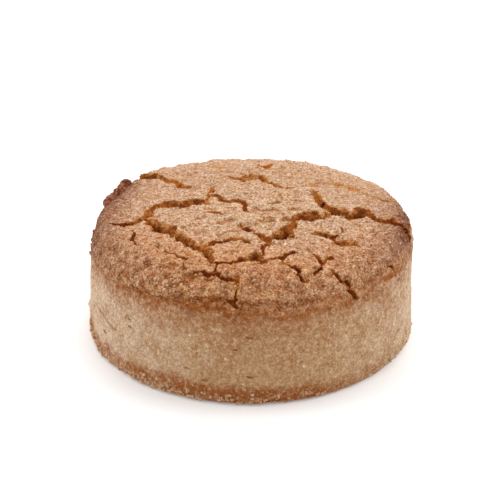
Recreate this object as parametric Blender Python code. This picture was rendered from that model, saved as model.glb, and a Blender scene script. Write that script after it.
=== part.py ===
"""A thick round shortbread biscuit: one solid with a flat base, a straight grainy wall that widens a
little towards its foot, and a domed crust that has split into plates and rolls over the rim.

The crust is laid out flat, as if it were peeled off: a disc of triangles that follows the lips and
the floors of the splits. Its border is drawn down ring by ring to make the wall, and the base closes
it. Each point then moves to its place on the biscuit by the formulas below.
Run it with: blender --background --python part.py
"""

import bmesh
import bpy
import numpy as np
from mathutils import Vector
from mathutils.geometry import delaunay_2d_cdt

MM = 0.001

# Driving dimensions, in millimetres.
HEIGHT = 27.3  # base to the middle of the dome
FOOT_RADIUS = 35.0
WALL_RADIUS = 34.15  # where the crust ends and the wall begins
WALL_HEIGHT = 19.4
FOOT_HEIGHT = 3.5  # below this the wall is upright
EDGE_ROUNDING = 0.6  # at the base
DOME_DROP = 1.3  # from the middle of the crust to its rim
DOME_RADIUS = 31.8

# The crust turns down at this radius, and earlier at the front, where it is slumped and round.
RIM_START = 31.7
FRONT_SLUMP = 4.4
FRONT_TURN = 4.0  # degrees from the front (-Y) towards +X
FRONT_SPREAD = 58.0

# The crust stands higher at the back left, behind a split.
BACK_LEFT_RISE = 0.8
BACK_LEFT_TURN = -142.0
BACK_LEFT_SPREAD = 26.0
BACK_LEFT_START = 22.0  # radius from which it rises

# Unevenness: how wide and how high.
SWELL_SIZE = 13.0
SWELL_HEIGHT = 0.3
LUMP_SIZE = 4.0
LUMP_HEIGHT = 0.25
WALL_LUMP_SHARE = 0.5

# Splits in the crust.
SPLIT_WALL = 0.35  # width of a split's sloping wall
SPLIT_DEPTH_SHARE = 0.75  # depth for each millimetre of width
SPLIT_LEAST_DEPTH = 0.8
SPLIT_MOST_DEPTH = 2.6
SPLIT_POINT = 2.0  # a split narrows to a point over this length
SPLIT_FADE = 3.0  # its depth and its lifted side fade out over this length
LIFT_REACH = 5.0  # how far a lifted side slopes back into its plate
LIFT_UP = 0.7  # share of the lift by which the left side rises
LIFT_DOWN = 0.3  # and by which the right side sinks

# Spacing of the points.
CRUST_STEP = 1.5
SPLIT_STEP = 1.3
SPLIT_MERGE = 0.12  # places nearer than this become one
CLEARANCE = 0.6  # kept free of other points beside a split's lip and inside the border
BORDER_POINTS = 180
WALL_RINGS = (13.5, 8.5, FOOT_HEIGHT, EDGE_ROUNDING, 0.0)  # heights

# Each split: how far its left side stands up, and its route over the crust laid flat, as (x, y, width).
# A place's distance from the middle is its length along the crust, and -Y is the front.
SPLITS = {
    "left": (0.6, [(-22.0, -4.0, 1.2), (-20.0, -8.5, 2.0), (-18.5, -11.0, 3.2), (-16.0, -13.5, 2.4),
                   (-14.5, -16.0, 1.8), (-11.0, -19.0, 2.0), (-9.0, -21.5, 2.0), (-8.5, -26.0, 1.2)]),
    "back_left": (0.5, [(-22.5, -3.5, 1.2), (-22.0, 0.0, 1.3), (-19.5, 3.0, 1.5), (-15.0, 1.5, 2.4),
                        (-10.5, 3.0, 1.8), (-9.0, 9.0, 1.0), (-9.5, 12.5, 0.8)]),
    "right": (0.6, [(14.0, 11.0, 0.8), (14.0, 5.5, 1.3), (17.0, 0.5, 1.5), (19.0, -2.5, 3.2),
                    (22.0, -3.5, 2.4), (24.5, -2.0, 2.4), (29.0, -6.0, 2.2), (33.5, -8.0, 1.0)]),
    "middle": (0.6, [(-2.0, -8.5, 0.8), (0.5, -14.0, 0.9), (3.0, -17.0, 1.4), (6.5, -14.5, 2.8),
                     (8.0, -10.5, 1.4), (9.5, -6.0, 2.0), (13.0, -5.0, 3.6), (17.0, -2.0, 1.4)]),
    "behind_front": (0.4, [(-9.0, -20.5, 1.0), (-6.5, -18.5, 0.9), (-3.0, -17.0, 1.4), (0.5, -20.0, 0.8)]),
    "front": (0.6, [(-8.0, -27.0, 0.9), (-4.0, -27.0, 0.9), (-0.5, -24.5, 1.9), (3.0, -26.0, 1.5),
                    (6.5, -24.0, 1.0), (9.5, -21.5, 0.8)]),
    "back_rim": (0.6, [(-28.5, 21.0, 1.4), (-24.0, 19.0, 2.3), (-20.0, 17.5, 1.2), (-15.0, 12.0, 0.9)]),
    "back_branch": (0.0, [(-18.0, 16.0, 0.8), (-15.0, 17.5, 0.8), (-13.0, 21.0, 0.8)]),
    "back_edge": (0.0, [(-11.5, 25.5, 0.8), (-7.0, 24.5, 1.0), (-3.5, 24.0, 0.8)]),
    "back_middle": (0.4, [(-6.5, 18.0, 0.8), (-1.0, 17.0, 2.2), (2.0, 17.5, 2.0), (4.0, 14.0, 1.2),
                          (10.0, 11.0, 0.8)]),
    "back_right": (0.3, [(12.0, 13.0, 0.8), (15.5, 14.5, 0.8), (20.5, 12.5, 1.0), (25.0, 7.5, 0.8),
                         (32.5, 6.0, 0.8)]),
    "inner": (0.4, [(-9.5, 6.0, 1.2), (-4.0, 4.0, 1.4), (-1.5, 0.0, 1.0), (0.5, -2.5, 0.8)]),
    "front_left_rim": (0.3, [(-11.5, -28.0, 0.8), (-8.5, -30.0, 1.0), (-3.0, -31.5, 0.9)]),
    "over_the_front": (0.0, [(-3.0, -31.0, 0.9), (-3.0, -33.5, 0.9), (-4.0, -35.5, 1.1), (-2.5, -36.5, 0.8)]),
    "front_line": (0.0, [(3.0, -18.0, 1.0), (2.0, -21.0, 0.8), (2.0, -24.5, 0.8)]),
    "front_right": (0.0, [(11.5, -22.5, 0.8), (13.5, -26.0, 0.9), (11.5, -30.5, 0.8)]),
    "right_line": (0.3, [(18.5, -11.0, 0.8), (16.5, -15.0, 1.0), (17.5, -19.0, 0.9)]),
    "over_the_right": (0.2, [(15.0, -27.5, 0.8), (19.5, -29.5, 1.2), (21.5, -30.0, 0.8)]),
}

# Scorched crumbs baked on to the left rim: turn, how far along the rim they reach, and how proud.
RIM_CRUMBS = ((-122.0, 3.6, 1.3), (-115.0, 3.2, 1.1), (-104.0, 3.2, 1.0))
RIM_CRUMB_DROP = 1.6  # how far below the rim's start they sit, along the crust

# Browned crumb that squeezed out at the foot: turn, height, size, how proud.
FOOT_CRUMBS = ((-86.0, 4.6, 1.6, 0.6), (-80.0, 1.4, 1.8, 0.4), (58.0, 3.2, 2.2, 0.5))

DOUGH_COLOUR = (0.45, 0.26, 0.13, 1.0)
DOUGH_ROUGHNESS = 0.85


def lumps(points, size, seed):
    """Smooth random bumps from -1 to 1: values on a cube lattice of this size, eased between corners."""
    span = 32
    lattice = np.random.default_rng(seed).uniform(-1.0, 1.0, (span, span, span))
    cell = points / size + 0.37
    base = np.floor(cell).astype(int)
    part = cell - base
    part = part * part * part * (part * (part * 6.0 - 15.0) + 10.0)
    total = np.zeros(len(points))
    for corner in np.ndindex(2, 2, 2):
        share = np.prod(np.where(corner, part, 1.0 - part), axis=1)
        at = (base + corner) % span
        total += share * lattice[at[:, 0], at[:, 1], at[:, 2]]
    return total


def bell(distance, reach):
    """1 at no distance, falling off smoothly over the reach."""
    return np.exp(-((distance / reach) ** 2))


def ease(value):
    """0 below 0, 1 above 1, and smooth between."""
    value = np.clip(value, 0.0, 1.0)
    return value * value * (3.0 - 2.0 * value)


def turn_gap(turn, centre):
    """Degrees between two turns, the short way round."""
    return (turn - centre + 180.0) % 360.0 - 180.0


def turn_of(flat):
    """Degrees from the front (-Y) towards +X."""
    return np.degrees(np.arctan2(flat[:, 0], -flat[:, 1]))


def level_way(turn):
    """The level direction outwards at each turn."""
    return np.stack([np.sin(np.radians(turn)), -np.cos(np.radians(turn))], axis=1)


def rim_start(turn):
    """Radius at which the crust turns down: a bell-shaped dip round the front."""
    return RIM_START - FRONT_SLUMP * bell(turn_gap(turn, FRONT_TURN), FRONT_SPREAD)


def dome_height(radius):
    """A shallow parabola."""
    return HEIGHT - DOME_DROP * (radius / DOME_RADIUS) ** 2


def roll_length(turn):
    """Length of the quarter ellipse over which the crust rolls down into the wall."""
    start = rim_start(turn)
    out = WALL_RADIUS - start
    down = dome_height(start) - WALL_HEIGHT
    return np.pi / 2.0 * np.sqrt((out * out + down * down) / 2.0)


def wall_radius(height):
    """Straight taper from the foot up to the crust, upright at the foot, rounded a little at the base."""
    taper = np.clip((height - FOOT_HEIGHT) / (WALL_HEIGHT - FOOT_HEIGHT), 0.0, 1.0)
    rounding = EDGE_ROUNDING * np.clip(1.0 - height / EDGE_ROUNDING, 0.0, 1.0)
    return FOOT_RADIUS + (WALL_RADIUS - FOOT_RADIUS) * taper - rounding


def stations(route):
    """The route at even steps: places, and the split's width there, which narrows to a point at its ends."""
    route = np.array(route)
    legs = np.hypot(*np.diff(route[:, :2], axis=0).T)
    walked = np.concatenate([[0.0], np.cumsum(legs)])
    at = np.linspace(0.0, walked[-1], max(3, round(walked[-1] / SPLIT_STEP)) + 1)
    places = np.stack([np.interp(at, walked, route[:, 0]), np.interp(at, walked, route[:, 1])], axis=1)
    from_end = np.minimum(at, walked[-1] - at)
    width = np.interp(at, walked, route[:, 2]) * np.sqrt(np.clip(from_end / SPLIT_POINT, 0.0, 1.0))
    return places, width, from_end


def nearest_on_split(points, split):
    """For each point: its distance from the split's middle line, positive on the left side, the split's
    width there, and how far that is from the split's nearer end."""
    places, widths, ends = split
    best = np.full(len(points), np.inf)
    side = np.ones(len(points))
    width = np.zeros(len(points))
    from_end = np.zeros(len(points))
    for index in range(len(places) - 1):
        leg = places[index + 1] - places[index]
        share = np.clip((points - places[index]) @ leg / (leg @ leg), 0.0, 1.0)
        offset = points - places[index] - share[:, None] * leg
        distance = np.hypot(offset[:, 0], offset[:, 1])
        nearer = distance < best
        best = np.where(nearer, distance, best)
        side = np.where(nearer, np.sign(leg[0] * offset[:, 1] - leg[1] * offset[:, 0]), side)
        width = np.where(nearer, widths[index] + share * (widths[index + 1] - widths[index]), width)
        from_end = np.where(nearer, ends[index] + share * (ends[index + 1] - ends[index]), from_end)
    return best * side, width, from_end


def wall_of_split(width):
    """Width of the sloping wall: a narrow split is all wall, so it is V-shaped."""
    return np.maximum(np.minimum(SPLIT_WALL, width / 2.0), 1e-6)


def split_lines(split):
    """A split's two lips and the two edges of its floor, each as a row of places."""
    places, width, _ = split
    along = np.gradient(places, axis=0)
    left = np.stack([-along[:, 1], along[:, 0]], axis=1) / np.hypot(*along.T)[:, None]
    floor = width / 2.0 - wall_of_split(width)
    return [places + offset[:, None] * left for offset in (width / 2.0, -width / 2.0, floor, -floor)]


def crust_relief(flat, splits):
    """How far the crust stands above its smooth form: the lifted sides, less the splits themselves."""
    lift = np.zeros(len(flat))
    depth = np.zeros(len(flat))
    for (left_lift, _), split in zip(SPLITS.values(), splits):
        offset, width, from_end = nearest_on_split(flat, split)
        fade = ease(from_end / SPLIT_FADE)
        half = np.maximum(width / 2.0, 1e-6)
        across = (1.0 + np.clip(offset / half, -1.0, 1.0)) / 2.0
        tilt = across * (LIFT_UP + LIFT_DOWN) - LIFT_DOWN
        lift += left_lift * fade * tilt * np.exp(-np.abs(offset) / LIFT_REACH)
        opening = np.clip((half - np.abs(offset)) / wall_of_split(width), 0.0, 1.0)
        bottom = np.clip(SPLIT_DEPTH_SHARE * width, SPLIT_LEAST_DEPTH, SPLIT_MOST_DEPTH)
        depth = np.maximum(depth, bottom * opening * (0.4 + 0.6 * fade))
    return lift - depth


def crust_places(flat, splits):
    """Bends the flat crust over the dome and round the rim, and adds its relief."""
    turn = turn_of(flat)
    along = np.hypot(flat[:, 0], flat[:, 1])
    start = rim_start(turn)
    rolled = np.clip((along - start) / roll_length(turn), 0.0, 1.0)
    lean = rolled * np.pi / 2.0
    radius = np.minimum(along, start) + (WALL_RADIUS - start) * np.sin(lean)
    drop = (dome_height(start) - WALL_HEIGHT) * (1.0 - np.cos(lean))
    height = dome_height(np.minimum(along, start)) - drop
    rise = BACK_LEFT_RISE * bell(turn_gap(turn, BACK_LEFT_TURN), BACK_LEFT_SPREAD)
    height += rise * ease((along - BACK_LEFT_START) / 6.0) * (1.0 - rolled)
    smooth = np.concatenate([radius[:, None] * level_way(turn), height[:, None]], axis=1)

    relief = crust_relief(flat, splits) + LUMP_HEIGHT * lumps(smooth, LUMP_SIZE, 11)
    for crumb_turn, reach, proud in RIM_CRUMBS:
        sideways = np.radians(turn_gap(turn, crumb_turn)) * radius
        crumb = np.hypot(sideways, 1.3 * (along - start - RIM_CRUMB_DROP))
        relief += proud * bell(crumb, reach / 2.0)
    # The relief stands off the dome upwards, and off the roll outwards as well.
    outward = np.concatenate([np.sin(lean)[:, None] * level_way(turn), np.cos(lean)[:, None]], axis=1)
    fade = 1.0 - (1.0 - WALL_LUMP_SHARE) * ease((rolled - 0.6) / 0.4)
    return smooth + (relief * fade)[:, None] * outward


def wall_places(flat, height):
    """Places on the wall below each border point, with lumps and the crumb squeezed out at the foot."""
    turn = turn_of(flat)
    radius = wall_radius(height)
    smooth = np.concatenate([radius[:, None] * level_way(turn), height[:, None]], axis=1)
    radius = radius + WALL_LUMP_SHARE * LUMP_HEIGHT * lumps(smooth, LUMP_SIZE, 11)
    for crumb_turn, crumb_height, reach, proud in FOOT_CRUMBS:
        sideways = np.radians(turn_gap(turn, crumb_turn)) * FOOT_RADIUS
        radius += proud * bell(np.hypot(sideways, height - crumb_height), reach)
    return np.concatenate([radius[:, None] * level_way(turn), height[:, None]], axis=1)


def swell(places):
    """A slow unevenness of the whole outline, which leaves the base flat."""
    radius = np.maximum(np.hypot(places[:, 0], places[:, 1]), 1e-6)
    outward = SWELL_HEIGHT * lumps(places, SWELL_SIZE, 3) * radius / WALL_RADIUS
    upward = SWELL_HEIGHT * lumps(places, SWELL_SIZE, 5) * ease(places[:, 2] / 4.0)
    moved = places.copy()
    moved[:, :2] *= (1.0 + outward / radius)[:, None]
    moved[:, 2] += upward
    return moved


def border_line():
    """The border of the crust laid flat, at even turns."""
    turn = np.arange(BORDER_POINTS) * 360.0 / BORDER_POINTS
    return (rim_start(turn) + roll_length(turn))[:, None] * level_way(turn)


def filling_points(splits):
    """A slightly jittered triangular lattice, kept clear of the border and of the splits."""
    reach = RIM_START + 10.0
    rows = np.arange(-reach, reach, CRUST_STEP * np.sqrt(0.75))
    columns = np.arange(-reach, reach, CRUST_STEP)
    x, y = np.meshgrid(columns, rows)
    x[1::2] += CRUST_STEP / 2.0
    points = np.stack([x.ravel(), y.ravel()], axis=1)
    points += np.random.default_rng(8).uniform(-0.15, 0.15, points.shape) * CRUST_STEP
    turn = turn_of(points)
    free = np.hypot(points[:, 0], points[:, 1]) < rim_start(turn) + roll_length(turn) - 1.5 * CLEARANCE
    for split in splits:
        offset, width, _ = nearest_on_split(points, split)
        free &= np.abs(offset) > width / 2.0 + CLEARANCE
    return points[free]


def crust_laid_flat(splits):
    """A flat disc of triangles with edges along every lip and floor line."""
    rows = [border_line()]
    edges = []
    count = BORDER_POINTS
    for split in splits:
        for line in split_lines(split):
            edges += [(count + index, count + index + 1) for index in range(len(line) - 1)]
            rows.append(line)
            count += len(line)
    rows.append(filling_points(splits))
    points = [Vector(point) for point in np.concatenate(rows)]
    border = [list(range(BORDER_POINTS))]
    made = delaunay_2d_cdt(points, edges, border, 1, SPLIT_MERGE)
    return made[0], made[2]


def crust_with_wall(splits):
    """A closed mesh still laid flat: each wall ring lies under the border, one unit further down."""
    points, triangles = crust_laid_flat(splits)
    bm = bmesh.new()
    verts = [bm.verts.new((point.x, point.y, 0.0)) for point in points]
    for triangle in triangles:
        bm.faces.new([verts[index] for index in triangle])
    bmesh.ops.dissolve_degenerate(bm, dist=SPLIT_MERGE, edges=bm.edges)
    bmesh.ops.triangulate(bm, faces=bm.faces)
    border = [edge for edge in bm.edges if edge.is_boundary]
    for _ in WALL_RINGS:
        drawn = bmesh.ops.extrude_edge_only(bm, edges=border)["geom"]
        ring = [item for item in drawn if isinstance(item, bmesh.types.BMVert)]
        bmesh.ops.translate(bm, verts=ring, vec=(0.0, 0.0, -1.0))
        border = [item for item in drawn if isinstance(item, bmesh.types.BMEdge) and item.is_boundary]
    bmesh.ops.contextual_create(bm, geom=border)
    bmesh.ops.recalc_face_normals(bm, faces=bm.faces)
    return bm


def shape_biscuit(bm, splits):
    """Moves every point to its place on the biscuit, in metres, with the base centred on the origin."""
    laid = np.array([vert.co[:] for vert in bm.verts])
    ring = np.round(-laid[:, 2]).astype(int)
    wall = ring > 0
    places = crust_places(laid[:, :2], splits)
    places[wall] = wall_places(laid[wall, :2], np.array(WALL_RINGS)[ring[wall] - 1])
    places = swell(places)
    places[:, :2] -= (places[:, :2].max(axis=0) + places[:, :2].min(axis=0)) / 2.0
    for vert, place in zip(bm.verts, places * MM):
        vert.co = place


def baked_dough():
    """Browned shortbread dough, matt."""
    material = bpy.data.materials.new("baked_dough")
    material.use_nodes = True
    shader = material.node_tree.nodes["Principled BSDF"]
    shader.inputs["Base Color"].default_value = DOUGH_COLOUR
    shader.inputs["Roughness"].default_value = DOUGH_ROUGHNESS
    shader.inputs["Metallic"].default_value = 0.0
    return material


def main():
    for existing in list(bpy.data.objects):
        bpy.data.objects.remove(existing, do_unlink=True)
    parts = bpy.data.collections.new("shortbread_biscuit")
    bpy.context.scene.collection.children.link(parts)

    splits = [stations(route) for _, route in SPLITS.values()]
    bm = crust_with_wall(splits)
    shape_biscuit(bm, splits)
    mesh = bpy.data.meshes.new("biscuit")
    bm.to_mesh(mesh)
    bm.free()
    mesh.shade_smooth()
    mesh.set_sharp_from_angle(angle=np.radians(40.0))
    mesh.materials.append(baked_dough())
    biscuit = bpy.data.objects.new("biscuit", mesh)
    parts.objects.link(biscuit)


main()
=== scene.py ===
"""A thick round shortbread biscuit, baked brown on top and split into plates, pale and grainy round
its wall. The crust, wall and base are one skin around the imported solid; loose crumbs sit on it.

Lengths are in millimetres until a mesh is made. A turn is in degrees from the front (-Y) towards +X.
The last number in a call of lumps or beads is the seed of its random values.
"""

import bpy
import numpy as np
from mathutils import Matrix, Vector


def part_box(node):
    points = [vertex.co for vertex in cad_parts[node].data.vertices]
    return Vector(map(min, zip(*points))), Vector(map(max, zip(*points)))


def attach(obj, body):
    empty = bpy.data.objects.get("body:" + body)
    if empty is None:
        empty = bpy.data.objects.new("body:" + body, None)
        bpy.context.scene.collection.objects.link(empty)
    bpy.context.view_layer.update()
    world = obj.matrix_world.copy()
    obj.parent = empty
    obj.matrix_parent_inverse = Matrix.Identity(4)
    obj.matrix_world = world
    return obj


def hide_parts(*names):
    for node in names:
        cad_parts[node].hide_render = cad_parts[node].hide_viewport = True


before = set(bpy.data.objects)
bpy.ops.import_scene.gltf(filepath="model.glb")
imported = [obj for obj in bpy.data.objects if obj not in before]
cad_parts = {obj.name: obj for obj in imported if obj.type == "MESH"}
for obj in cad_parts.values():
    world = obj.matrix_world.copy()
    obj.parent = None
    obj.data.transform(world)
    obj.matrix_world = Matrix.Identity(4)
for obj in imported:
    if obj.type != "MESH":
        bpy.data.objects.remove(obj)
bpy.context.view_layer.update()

MM = 0.001

# -------------------- Sizes of the biscuit
HEIGHT = 27.3  # base to the middle of the dome
FOOT_RADIUS = 35.0
WALL_RADIUS = 34.15  # where the crust's roll ends
WALL_HEIGHT = 19.4
FOOT_HEIGHT = 3.5  # below this the wall is upright
EDGE_ROUNDING = 0.6
DOME_DROP = 1.3
DOME_RADIUS = 31.8
BACK_LEFT_START = 22.0  # the back left of the crust is risen from this radius on
BACK_LEFT_RUN = 6.0

# Values that vary round the biscuit: one number everywhere, then for each stretch how much is added in
# its middle, the turn of the middle and the spread.
RIM_START = (31.7, (-4.4, 4.0, 58.0))  # radius at which the crust turns down: it slumps at the front
BACK_LEFT_RISE = (0.0, (0.8, -142.0, 26.0))
CRUST_DIP = (0.0, (4.6, 16.0, 40.0), (5.4, -80.0, 42.0))  # how far the crust's edge dips
CRUST_SOFTNESS = (0.9, (1.8, -78.0, 34.0), (1.2, 66.0, 24.0))  # height over which it fades away
COARSE_FRONT = (0.0, (1.0, -8.0, 75.0))  # how coarse the crust's shoulder is
COARSE_LEFT = (0.0, (0.3, -85.0, 45.0))  # and its left rim
LEDGE_FRONT = (0.0, (1.0, -6.0, 44.0))  # where the crust's lip stands proud
LIP_BAND = (0.0, (1.0, 8.0, 70.0))  # where a torn golden band lies between the lip and the wall
TORN_BAND = (0.0, (1.0, -4.0, 44.0))  # and where the band is torn most
CRUMBLY = (0.0, (1.0, -26.0, 30.0))  # where the shoulder breaks up into coarse crumbs
LEFT_LEAN = (0.0, (-1.1, -92.0, 30.0))  # the left rim leans in
FOOT_TOP = (3.9, (0.3, -62.0, 30.0), (-1.0, 42.0, 25.0))  # height of the browned band at the foot
FOOT_STOUT = (1.0, (-0.9, 58.0, 26.0))  # share of the flange at the foot
FOOT_CUT = (0.0, (0.7, 56.0, 18.0))  # how far the foot runs in
SHOULDER_FRONT = (0.0, (1.0, -6.0, 66.0))  # where the shoulder is browned
SHOULDER_BACK = (0.0, (6.0, 50.0, 42.0))  # the shoulder's browning starts this much further out
SHOULDER_TOAST = (0.50, (0.03, -42.0, 30.0), (0.22, 48.0, 18.0))  # and how much
UNDER_TOAST = (0.2, (0.8, -6.0, 66.0), (0.6, 58.0, 18.0), (0.30, -42.0, 30.0))  # the wall below the crust
UNDER_FADE = (1.4, (2.2, 4.0, 46.0), (2.2, -42.0, 30.0), (3.0, 58.0, 18.0))  # how far down that goes
FOOT_TOAST = (0.74, (0.26, 6.0, 26.0))
MAUVE_LEFT = (0.0, (1.0, -94.0, 42.0))  # where the rims are darker
MAUVE_RIGHT = (0.0, (1.0, 80.0, 34.0))
MAUVE_RIM = (0.0, (1.0, -104.0, 26.0))
GOLDEN_LIP = (0.0, (1.0, -8.0, 30.0))
# the front of the wall is warmer and darker: partly browning, partly painted shade
WARM_MIDDLE = (0.0, (1.0, 6.0, 44.0))
EDGE_CRUMBS = (0.0, (1.0, -4.0, 50.0))  # where loose crumbs lie
SHOULDER_CRUMBS = (0.0, (1.0, -24.0, 34.0))
FOOT_CRUMBS = (0.06, (1.0, -30.0, 42.0))
SIDE_CRUMBS = (0.0, (1.0, 58.0, 8.0))
RIM_CRUMBS = (0.0, (1.0, -100.0, 34.0))

# Relief: sizes of lumps, and how far they stand up.
SWELL_SIZE = 13.0
SWELL_HEIGHT = 0.3
LUMP_SIZE = 3.4
LUMP_HEIGHT = 0.24
GRIT_SIZE = 1.5
GRIT_HEIGHT = 0.38
BEAD_SIZE = 0.95
BEAD_HEIGHT = 0.30
BEAD_MIDDLE = 0.6  # beads stand up from here and sink in below
COARSE_RELIEF = 0.23  # extra lumps where the crust is coarsest
FLANK_SHADE = 0.22  # the steep sides of lumps take painted shade as if they lay this much lower
WALL_GRAIN = 0.35  # the wall's relief beside the crust's
CRUST_HIGH = 23.6  # height at which the browned crust ends on the wall, where it does not dip
CRUST_WANDER = 0.85  # and how far that edge wanders up and down

# Small dents in the plates: where they are deepest, and their size and depth.
DENT_MIDDLE = (1.0, -5.0)
DENT_SPREAD = 14.0
DENT_RIGHT = (26.0, -13.0)
DENT_RIGHT_SPREAD = 8.0
DENT_LEAST = 0.22  # share of the depth elsewhere
DENT_SIZE = 2.3
DENT_WIDENING = 0.65  # the noise is drawn out sideways, then bent and turned
DENT_BEND = 0.9
DENT_SLANT = 33.0
DENT_DEPTH = 0.85

# The crust's lower lip, the torn band beneath it and the crumbly shoulder.
LEDGE = 0.6  # how proud the lip stands at the front
LEDGE_FADE = 2.2  # and how fast that fades above it
LEDGE_SAG = 0.5  # how far the lip hangs down over the torn band beneath it
LEDGE_GROOVE = 0.45
BAND_NARROW = 0.9  # height of the band at the left front
BAND_WIDE = 2.7  # and from the middle of the front on
BAND_WIDENS = (-38.0, 26.0)  # from this turn on, over this many degrees
CRUMBLY_HEIGHT = (1.6, 2.8)  # the coarse crumbs lie this far above the crust's edge, with this spread
CRUMBLY_RELIEF = 0.5
PIT_DEPTH = 0.48
LEAN_HEIGHT = (23.0, 3.2)  # the left rim leans in round this height, with this spread
FLANGE = 0.35  # how proud the browned rim at the foot stands

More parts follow.
